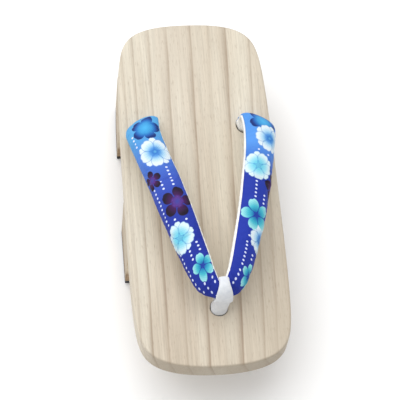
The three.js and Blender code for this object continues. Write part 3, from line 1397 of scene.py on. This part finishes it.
@dataclass(frozen=True)
class Wadding:
    """Soft wadding that swells a cover from inside: a short cloth simulation, made large to be steady."""

    pressure: float = 4.0
    slack: float = 0.03
    cap: float = 0.9  # how far the cloth may move, in millimetres
    frames: int = 20
    enlarged: float = 20.0

    def fill(self, made: bpy.types.Object) -> None:
        """Swells a cover over its wadding and keeps the result in its mesh.

        Args:
            made: The cover, before it has its thickness, with its firmness attribute.
        """
        mesh = made.data
        held = np.empty(len(mesh.vertices))
        mesh.attributes[HELD].data.foreach_get("value", held)
        mesh.attributes.remove(mesh.attributes[HELD])
        start = np.empty(3 * len(mesh.vertices))
        mesh.vertices.foreach_get("co", start)
        mesh.vertices.foreach_set("co", start * self.enlarged)
        pins = made.vertex_groups.new(name="held")
        for index, weight in enumerate(held):
            pins.add([index], float(weight), "REPLACE")
        cloth = made.modifiers.new("wadding", "CLOTH")
        cloth.settings.vertex_group_mass = pins.name
        cloth.settings.shrink_min = -self.slack
        cloth.settings.use_pressure = True
        cloth.settings.uniform_pressure_force = self.pressure
        cloth.settings.effector_weights.gravity = 0.0
        for moment in range(1, self.frames + 1):
            bpy.context.scene.frame_set(moment)
        swollen = made.evaluated_get(bpy.context.evaluated_depsgraph_get()).data
        end = np.empty_like(start)
        swollen.vertices.foreach_get("co", end)
        made.modifiers.clear()
        made.vertex_groups.clear()
        bpy.context.scene.frame_set(1)
        move = (end / self.enlarged - start).reshape(-1, 3)
        length = np.linalg.norm(move, axis=1, keepdims=True)
        move *= np.minimum(1.0, self.cap * METRES / np.maximum(length, SAME_POINT * METRES))
        mesh.vertices.foreach_set("co", start + move.ravel())
        mesh.update()
        LOG.info("%s: swelled by up to %.2f mm", made.name, length.max() / METRES)


@dataclass
class Thong:
    """Two padded straps in one from hole to hole, printed on top and lined with white underneath."""

    deck: Deck
    sections: tuple[Section, ...] = (
        Section((0, -75, 23.5), (0, -78.6, 12), 4.2, 0.8),
        Section((4.2, -67, 25), (11.2, -76, 11.5), 5.2, 1.2),
        Section((7, -57, 25.2), (19, -65, 12), 6.2, 1.5),
        Section((11.2, -41, 24.6), (27, -47, 13.3), 6.5, 1.5),
        Section((15.6, -23, 24.2), (33.6, -29, 14.5), 6.5, 1.5),
        Section((20, -3, 23), (39.4, -8, 14.8), 6.5, 1.5),
        Section((24.2, 18, 20.4), (44, 14, 13), 6.2, 1.5),
        Section((26.2, 35, 16.6), (46.6, 30, 10), 6, 1.5),
        Section((26, 44.8, 12.6), (46.6, 36.4, 7.2), 4.6, 1.6),
        Section((25.4, 46.2, 6.5), (39.4, 42.6, 2.8), 4.4, 2.2),
        Section((25.4, 44.9, 0), (35.6, 44.9, 0), 4.6, 4.4),
        Section((26, 44.9, -18), (35, 44.9, -18), 4.2, 4.2),
    )
    sides: tuple[Side, ...] = (
        Side(-1, (-2.6, 2.2), (-2.8, 2.2)),
        Side(1, (0.4, -0.4), (-1.2, -1.2)),
    )
    bow: tuple[float, float] = (-78.0, 32.0)
    front: tuple[float, float] = (3.75, -80.75)
    rear: tuple[float, float] = (1.25, 45.5)
    fullness: float = 2.5
    cloth: float = 0.5
    wadding: Wadding = Wadding()
    tangent_step: float = 0.005
    measuring_steps: int = 2000
    girth_steps: int = 48
    steps: int = 520
    facets: int = 36
    outer_edge: float = math.radians(-8)
    inner_edges: tuple[float, float] = (math.radians(179), math.radians(168))
    edge_change: float = 0.01
    lap: float = math.radians(8)  # how far the lining goes on under the print
    lip: float = 0.6
    lip_middle: float = math.radians(10)
    lip_width: float = math.radians(8)
    pucker: float = 4.2
    pucker_depth: float = 0.12
    pucker_width: float = 0.6
    tucked: float = 0.55  # how far the lining lies inside the skin
    hidden_tail: float = 0.035  # the share of the length at each end, down in its hole, without cloth
    hem: float = 0.05
    hem_hold: float = 1.4
    hem_turn: float = 0.02
    hem_depth: float = 0.45
    free: tuple[float, float] = (7.0, 130.0)  # where the cloth is free to swell, from the apex
    let_go: float = 3.0
    collar: float = 0.9
    collar_place: tuple[float, float] = (2.2, 1.7)  # its middle above the hole, and its width
    pleat: float = 3.6
    pleat_depth: float = 0.28
    pleat_place: tuple[float, float] = (3.0, 4.0)
    crease_banks: float = 0.7  # how much the cloth rises beside a crease
    lump: float = 0.22
    lumps: tuple[float, float] = (0.09, 0.12)  # how many to a millimetre, along and across
    lump_layer: float = 3.1
    creases: tuple[Crease, ...] = (
        Crease(-9.0, -5.0, 7.0, 0.9, 0.55, 75),
        Crease(-8.0, 3.0, 6.0, 0.8, 0.45, 100),
        Crease(-13.5, 8.0, 6.0, 1.0, 0.4, 70),
        Crease(8.5, -4.0, 7.0, 0.9, 0.55, 105),
        Crease(9.5, 4.0, 6.0, 0.8, 0.45, 80),
        Crease(13.0, 9.0, 5.0, 1.0, 0.4, 110),
        Crease(-128.0, -6.0, 8.0, 1.2, 0.6, 80),
        Crease(-133.0, 3.0, 9.0, 1.2, 0.6, 95),
        Crease(-137.0, -3.0, 8.0, 1.1, 0.6, 88),
        Crease(-125.0, 8.0, 6.0, 1.1, 0.4, 105),
        Crease(128.0, -6.0, 8.0, 1.2, 0.6, 100),
        Crease(133.0, 3.0, 9.0, 1.2, 0.6, 85),
        Crease(137.0, -3.0, 8.0, 1.1, 0.6, 92),
        Crease(-47.0, -9.0, 9.0, 1.6, 0.3, 20),
        Crease(-85.0, 9.0, 10.0, 1.6, 0.3, -15),
        Crease(30.0, -8.5, 9.0, 1.6, 0.3, -18),
        Crease(66.0, 8.5, 10.0, 1.7, 0.3, 15),
    )

    def __post_init__(self) -> None:
        """Works out the seams and depths of both straps, from one tail over the apex to the other."""
        rows = [[self.placed(section, side) for section in self.sections] for side in self.sides]
        whole = np.array(rows[0][::-1] + rows[1][1:], float)
        self.inner, self.outer, self.depths = whole[:, 0], whole[:, 1], whole[:, 2]
        samples = np.linspace(0, 1, self.measuring_steps + 1)
        middles = self.middle(samples)
        lengths = np.concatenate([[0.0], np.cumsum(np.linalg.norm(np.diff(middles, axis=0), axis=1))])
        self.samples = samples
        self.lengths = lengths - np.interp(0.5, samples, lengths)

    def placed(self, section: Section, side: Side) -> list[tuple[float, ...]]:
        """Puts a section on one side, moved by that side's bow.

        Args:
            section: The section.
            side: The strap that it belongs to.

        Returns:
            The places of its inner and outer seam, and its depths.
        """
        row: list[tuple[float, ...]] = []
        for (out, y, z), (outwards, upwards) in ((section.inner, side.inner), (section.outer, side.outer)):
            along = min(1.0, max(0.0, (y - self.bow[0]) / (self.bow[1] - self.bow[0])))
            share = math.sin(math.pi * along)
            row.append((side.sign * (out + outwards * share), y, z + upwards * share))
        return [*row, (section.crown, section.lining, 0.0)]

    def middle(self, t: Array) -> Array:
        """The middle of the section at each t."""
        inside = np.clip(t, 0, 1)
        return (smooth_curve(self.inner, inside) + smooth_curve(self.outer, inside)) / 2

    def skin(self, t: Array, angle: Array, growth: Array | float = 0.0) -> Array:
        """Points of the thong's skin.

        Args:
            t: Where along the thong, from 0 to 1.
            angle: Where around it: 0 is the outer seam, a quarter turn is the top of the crown.
            growth: How far out of the skin.

        Returns:
            A point for each t and angle, in millimetres.
        """
        inner, outer = smooth_curve(self.inner, t), smooth_curve(self.outer, t)
        across = outer - inner
        forward = self.middle(t + self.tangent_step) - self.middle(t - self.tangent_step)
        up = np.cross(across, forward)
        up /= np.linalg.norm(up, axis=1, keepdims=True)
        width = np.linalg.norm(across, axis=1, keepdims=True)
        depths = smooth_curve(self.depths, t)
        depth = np.where(np.sin(angle) > 0, depths[:, 0], depths[:, 1])
        aside = (width[:, 0] / 2 + growth) * fuller(np.cos(angle), self.fullness)
        above = (depth + growth) * fuller(np.sin(angle), self.fullness)
        points = (inner + outer) / 2 + across / width * aside[:, None] + up * above[:, None]
        share = (points[:, 1] - self.front[1]) / (self.rear[1] - self.front[1])
        points[:, 0] += self.front[0] + (self.rear[0] - self.front[0]) * share
        points[:, 2] += self.deck.top
        return points

    def along(self, t: Array) -> Array:
        """How far each t is from the apex, less than 0 on the outside strap."""
        return np.interp(t, self.samples, self.lengths)

    def across(self, t: Array, angle: Array) -> Array:
        """Measures over the cloth from the top of the crown.

        Args:
            t: Where along the thong, from 0 to 1.
            angle: Where around it.

        Returns:
            How far each spot is from the crown, in millimetres, more than 0 towards the outer seam.
        """
        crown = math.pi / 2
        total = np.zeros_like(t)
        last = self.skin(t, np.full_like(t, crown))
        for i in range(1, self.girth_steps + 1):
            here = self.skin(t, crown + (angle - crown) * i / self.girth_steps)
            total += np.linalg.norm(here - last, axis=1)
            last = here
        return total * np.sign(crown - angle)

    def inner_edge(self, t: Array) -> Array:
        """Where around the section the print's inner edge is, on either strap."""
        outside, big_toe = self.inner_edges
        return outside + (big_toe - outside) * (1 + np.tanh((t - 0.5) / self.edge_change)) / 2

    def relief(self, along: Array, across: Array) -> Array:
        """Works out how creases, lumps and gathers move the cloth.

        Args:
            along: How far each spot is from the apex.
            across: How far it is from the crown.

        Returns:
            How far it moves outwards, in millimetres.
        """
        height = np.zeros_like(along)
        for crease in self.creases:
            turn = math.radians(crease.turn)
            x, y = along - crease.along, across - crease.across
            down = x * math.cos(turn) + y * math.sin(turn)
            aside = (y * math.cos(turn) - x * math.sin(turn)) / crease.width
            trough = (1 - self.crease_banks * aside**2) * bell(aside, 1.0)
            height -= crease.depth * trough * bell(down, crease.length)
        often, over = self.lumps
        lumps = [noise.noise((x * often, y * over, self.lump_layer)) for x, y in zip(along, across)]
        return height + self.lump * np.array(lumps) + self.gathers(along, across)

    def gathers(self, along: Array, across: Array) -> Array:
        """Works out how the cloth swells and pleats where it is drawn down into its holes.

        Args:
            along: How far each spot is from the apex.
            across: How far it is from the crown.

        Returns:
            How far it moves outwards, in millimetres.
        """
        mouth = self.along(np.array([1 / (len(self.inner) - 1)]))[0]
        above = np.abs(mouth) - np.abs(along)
        (swell_at, swell_width), (pleat_at, pleat_width) = self.collar_place, self.pleat_place
        pleats = np.cos(2 * math.pi * across / self.pleat) * bell(above - pleat_at, pleat_width)
        return self.collar * bell(above - swell_at, swell_width) + self.pleat_depth * pleats

    def cover_rule(self, u: Array, v: Array) -> tuple[Array, Array, Array]:
        """Lays the printed cotton over the crown, with its edges turned under.

        Args:
            u: Each spot's share of the cloth's length.
            v: Its share of the cloth's width, from the outer seam to the inner.

        Returns:
            Its place, and how far it is along and across the cloth, in millimetres.
        """
        t = trimmed(u, self.hidden_tail)
        angle = self.outer_edge + v * (self.inner_edge(t) - self.outer_edge)
        along, across = self.along(t), self.across(t, angle)
        hem = bell(v, self.hem_turn) + bell(v - 1, self.hem_turn)
        growth = self.relief(along, across) - self.hem_depth * hem
        return self.skin(t, angle, growth), along, across

    def lining_rule(self, u: Array, v: Array) -> tuple[Array, Array, Array]:
        """Lays the white lining around the underside, with a rolled lip past the print's inner edge.

        Args:
            u: Each spot's share of the cloth's length.
            v: Its share of the cloth's width, from the inner seam to the outer.

        Returns:
            Its place, and how far it is along and across the cloth, in millimetres.
        """
        t = trimmed(u, self.hidden_tail * 0.9)
        edge = self.inner_edge(t)
        start = edge - self.lap
        angle = start + v * (2 * math.pi + self.outer_edge + self.lap - start)
        along, across = self.along(t), self.across(t, angle)
        lip = self.lip * bell(angle - edge - self.lip_middle, self.lip_width)
        puckers = self.pucker_depth * np.sin(along * 2 * math.pi / self.pucker)
        puckers *= bell(angle - math.pi * 1.1, self.pucker_width)
        growth = lip - self.tucked + puckers + self.gathers(along, across)
        return self.skin(t, angle, growth), along, across

    def held(self, u: Array, v: Array) -> Array:
        """Works out how firmly the cover is held: at its seams, in the holes and under the loop.

        Args:
            u: Each spot's share of the cover's length.
            v: Its share of the cover's width.

        Returns:
            Its firmness, from 0 to 1.
        """
        along = np.abs(self.along(trimmed(u, self.hidden_tail)))
        seams = bell(v, self.hem) + bell(1 - v, self.hem)
        tied_to, held_from = self.free
        tails = np.clip((along - held_from) / self.let_go, 0, 1)
        tied = np.clip((tied_to - along) / self.let_go, 0, 1)
        return np.clip(seams * self.hem_hold + tails + tied, 0, 1)

    def thicken(self, made: bpy.types.Object) -> None:
        """Gives a cloth its thickness, inwards from its face.

        Args:
            made: The cloth.
        """
        wall = made.modifiers.new("cloth", "SOLIDIFY")
        wall.thickness = self.cloth * METRES
        wall.offset = -1
        settle(made)

    def build(self) -> list[bpy.types.Object]:
        """Builds the printed cover, which is filled, and the white lining.

        Returns:
            The cover and the lining.
        """
        sheet = shaped_grid(self.steps, self.facets, self.cover_rule, self.held)
        cover = piece("thong_cover", sheet, PRINT)
        self.wadding.fill(cover)
        self.thicken(cover)
        sheet = shaped_grid(self.steps, self.facets, self.lining_rule)
        lining = piece("thong_lining", sheet, LINING)
        self.thicken(lining)
        return [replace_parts(cover, "thong"), lining]


# ------------------------------------------------------------------------------------------------
# Front loop and knots
# ------------------------------------------------------------------------------------------------


@dataclass(frozen=True)
class LegSection:
    """A section of the loop's leg: its height above the deck, its place and its half sizes."""

    z: float
    y: float
    lean: float
    half_width: float
    half_depth: float


@dataclass
class FrontLoop:
    """The white flannel loop that holds the apex: a band around it, and a leg into the front hole."""

    thong: Thong
    half_width: float = 5.7
    pinch: float = 2.5  # how much narrower the band is behind, where it is drawn in
    thickness: float = 3.8
    thinner_below: float = 0.42
    band_fullness: float = 2.6
    leg_fullness: float = 2.3
    clearance: float = 0.3
    lean: float = 1.2
    voxel: float = 0.45
    legs: tuple[LegSection, ...] = (
        LegSection(20, -83, 1.2, 4.4, 1.6),
        LegSection(13, -82, 1.0, 4.8, 3.0),
        LegSection(6, -81.2, 0.5, 4.9, 4.1),
        LegSection(2.4, -80.9, 0.1, 5.1, 4.9),
        LegSection(0.6, -80.75, 0.0, 5.3, 5.2),
        LegSection(-0.8, -80.75, 0.0, 5.0, 4.9),
        LegSection(-12, -80.75, 0.0, 4.7, 4.5),
    )

    def band_rule(self, u: Array, v: Array) -> tuple[Array, Array, Array]:
        """Lays the band around the apex.

        Args:
            u: Each spot's share of the way around the apex.
            v: Its share of the way around the band.

        Returns:
            Its place and its shares.
        """
        around, across = 2 * math.pi * u, 2 * math.pi * v
        behind = (1 - np.cos(around)) / 2
        thickness = self.thickness * (1 - self.thinner_below * (1 - behind) ** 2)
        growth = self.clearance + thickness * (1 + np.cos(across)) / 2
        points = self.thong.skin(np.full_like(u, 0.5), around, growth)
        half_width = self.half_width - self.pinch * behind**3
        points[:, 0] += self.lean - half_width * fuller(np.sin(across), self.band_fullness)
        return points, u, v

    def leg_rule(self, u: Array, v: Array) -> tuple[Array, Array, Array]:
        """Lays the leg from the band down into the hole.

        Args:
            u: Each spot's share of the way down.
            v: Its share of the way around the leg.

        Returns:
            Its place and its shares.
        """
        route = np.array([(leg.lean, leg.y, leg.z) for leg in self.legs])
        girth = np.array([(leg.half_width, leg.half_depth, 0) for leg in self.legs])
        points, sizes = smooth_curve(route, u), smooth_curve(girth, u)
        turn = 2 * math.pi * v
        points[:, 0] += self.thong.front[0] + sizes[:, 0] * fuller(np.cos(turn), self.leg_fullness)
        points[:, 1] += sizes[:, 1] * fuller(np.sin(turn), self.leg_fullness)
        points[:, 2] += self.thong.deck.top
        return points, u, v

    def build(self) -> bpy.types.Object:
        """Builds the loop as one soft body.

        Returns:
            The loop.
        """
        bm = closed_tube(along=96, around=40, rule=self.band_rule)
        leg = mesh_of("leg", closed_tube(along=60, around=40, rule=self.leg_rule))
        bm.from_mesh(leg)
        bpy.data.meshes.remove(leg)
        made = piece("front_loop_flannel", bm, FLANNEL)
        joined = made.modifiers.new("joined", "REMESH")
        joined.mode = "VOXEL"
        joined.voxel_size = self.voxel * METRES
        joined.use_smooth_shade = True
        soft = made.modifiers.new("soft", "SMOOTH")
        soft.factor = 0.5
        soft.iterations = 4
        settle(made)
        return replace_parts(made, "front_loop")


@dataclass
class CordKnot:
    """A stopper knot in laid cord, drawn up against the underside of the deck."""

    name: str
    hole: Hole
    deck: Deck
    radius: float = 1.5
    coil: float = 3.5
    turns: float = 2.5
    depth: float = 8.2
    strands: int = 3
    strand_relief: float = 0.12
    lay: float = 11.0  # how many turns the strands make from end to end
    straight: float = 0.3  # the share of the cord that goes straight down
    start: float = 6.0  # how far up in the hole it starts
    roundness: float = 0.35
    step: float = 0.002
    aside: tuple[float, float, float] = (0.31, 0.17, 0.93)  # a direction that the cord never runs in

    def route(self, u: Array) -> Array:
        """Leads the cord down the hole, and winds it around itself.

        Args:
            u: Where along the cord, from 0 to 1.

        Returns:
            A point of its middle line for each u, in millimetres.
        """
        down = np.clip(u / self.straight, 0, 1)
        wound = np.clip((u - self.straight) / (1 - self.straight), 0, 1)
        swing = 2 * math.pi * self.turns * wound
        bulge = np.sin(math.pi * np.clip(wound * 1.1, 0, 1)) ** self.roundness
        out = self.coil * bulge * (wound > 0)
        drop = self.depth - self.radius * 1.2
        z = self.deck.underside + self.start - (drop + self.start) * down
        z += (drop - self.radius * 1.3) * wound
        return np.stack([self.hole.x + out * np.cos(swing), self.hole.y + out * np.sin(swing), z], axis=1)

    def rule(self, u: Array, v: Array) -> tuple[Array, Array, Array]:
        """Lays the cord's skin around its route, lobed by its strands.

        Args:
            u: Each spot's share of the cord's length.
            v: Its share of the way around the cord.

        Returns:
            Its place and its shares.
        """
        middle = self.route(u)
        behind, ahead = (np.clip(u + step, 0, 1) for step in (-self.step, self.step))
        forward = self.route(ahead) - self.route(behind)
        forward /= np.linalg.norm(forward, axis=1, keepdims=True)
        side = np.cross(forward, self.aside)
        side /= np.linalg.norm(side, axis=1, keepdims=True)
        over = np.cross(forward, side)
        turn = 2 * math.pi * v
        twist = 2 * math.pi * self.lay * u
        lobed = self.radius * (1 + self.strand_relief * np.cos(self.strands * turn + twist))
        points = middle + lobed[:, None] * (side * np.cos(turn)[:, None] + over * np.sin(turn)[:, None])
        return points, u, v

    def build(self) -> bpy.types.Object:
        """Builds the knot."""
        bm = closed_tube(along=220, around=18, rule=self.rule)
        return piece(f"{self.name}_knot", bm, CORD)


# ------------------------------------------------------------------------------------------------
# Studio
# ------------------------------------------------------------------------------------------------


@dataclass(frozen=True)
class Lamp:
    """A soft box: its bearing and height as seen from the shoe, its distance, width and strength."""

    name: str
    azimuth: float
    elevation: float
    distance: float
    width: float
    watts: float


@dataclass
class Studio:
    """A pale floor, soft light and the camera."""

    floor_size: float = 12.0  # this and the distances are in metres
    daylight: float = 0.68
    azimuth: float = -14.7
    elevation: float = 63.1
    roll: float = 11.0
    distance: float = 1.707
    lens: float = 243.0
    lamps: tuple[Lamp, ...] = (
        Lamp("key", -150.0, 66.0, 1.8, 2.2, 30.0),
        Lamp("fill", -60.0, 50.0, 2.0, 1.6, 6.0),
    )

    def bearing(self, azimuth: float, elevation: float) -> Vector:
        """The direction from the shoe to something at a bearing and height, in degrees."""
        a, e = math.radians(azimuth), math.radians(elevation)
        return Vector((math.sin(a) * math.cos(e), -math.cos(a) * math.cos(e), math.sin(e)))

    def build_camera(self) -> None:
        """Makes the camera and aims it at the middle of the shoe."""
        low, high = CAD_BOUNDS
        back = self.bearing(self.azimuth, self.elevation)
        data = bpy.data.cameras.new("camera")
        data.lens = self.lens
        data.clip_start, data.clip_end = 0.05, 50.0
        camera = stand("camera", data)
        turned = back.to_track_quat("Z", "Y").to_matrix().to_4x4()
        turned @= Matrix.Rotation(math.radians(self.roll), 4, "Z")
        camera.matrix_world = Matrix.Translation((low + high) / 2 + back * self.distance) @ turned
        bpy.context.scene.camera = camera

    def build_light(self) -> None:
        """Makes the soft boxes and the even light of the room."""
        middle = (CAD_BOUNDS[0] + CAD_BOUNDS[1]) / 2
        for lamp in self.lamps:
            data = bpy.data.lights.new(lamp.name, "AREA")
            data.shape = "SQUARE"
            data.size = lamp.width
            data.energy = lamp.watts
            back = self.bearing(lamp.azimuth, lamp.elevation)
            turned = back.to_track_quat("Z", "Y").to_matrix().to_4x4()
            box = stand(lamp.name, data)
            box.matrix_world = Matrix.Translation(middle + back * lamp.distance) @ turned
        world = bpy.data.worlds.new("room")
        world.use_nodes = True
        graph = Graph(world.node_tree)
        sky = graph.add("Background", linear("ffffff"), self.daylight)
        graph.add("OutputWorld", sky)
        bpy.context.scene.world = world

    def build_floor(self) -> None:
        """Makes the floor."""
        bm = bmesh.new()
        bmesh.ops.create_grid(bm, x_segments=1, y_segments=1, size=self.floor_size / 2)
        mesh = mesh_of("floor", bm)
        mesh.materials.append(PAPER.material())
        floor = stand("floor", mesh)

    def build(self) -> None:
        """Sets up the whole studio, with colours shown as they are."""
        self.build_camera()
        self.build_light()
        self.build_floor()
        bpy.context.scene.view_settings.view_transform = "Standard"


def report(made: bpy.types.Object) -> None:
    """Logs a finished piece with its number of triangles."""
    triangles = sum(len(face.vertices) - 2 for face in made.data.polygons)
    LOG.info("%s: %d triangles", made.name, triangles)


def main() -> None:
    """Builds the geta around its frame, and the studio."""
    logging.basicConfig(level=logging.INFO, format="%(name)s: %(message)s")
    Studio().build()
    deck = Deck()
    thong = Thong(deck)
    made = [deck.build()]
    for tooth in (
        Tooth("front", -37.75, 1.0, -36.0, 0.0),
        Tooth("rear", 51.75, 91.0, 53.25, 89.5),
    ):
        made += tooth.build(deck)
    made += thong.build()
    made.append(FrontLoop(thong).build())
    for name, hole in zip(("front", "outside", "inside"), deck.holes):
        made.append(CordKnot(name, hole, deck).build())
    for built in made:
        report(built)


if __name__ == "__main__":
    main()
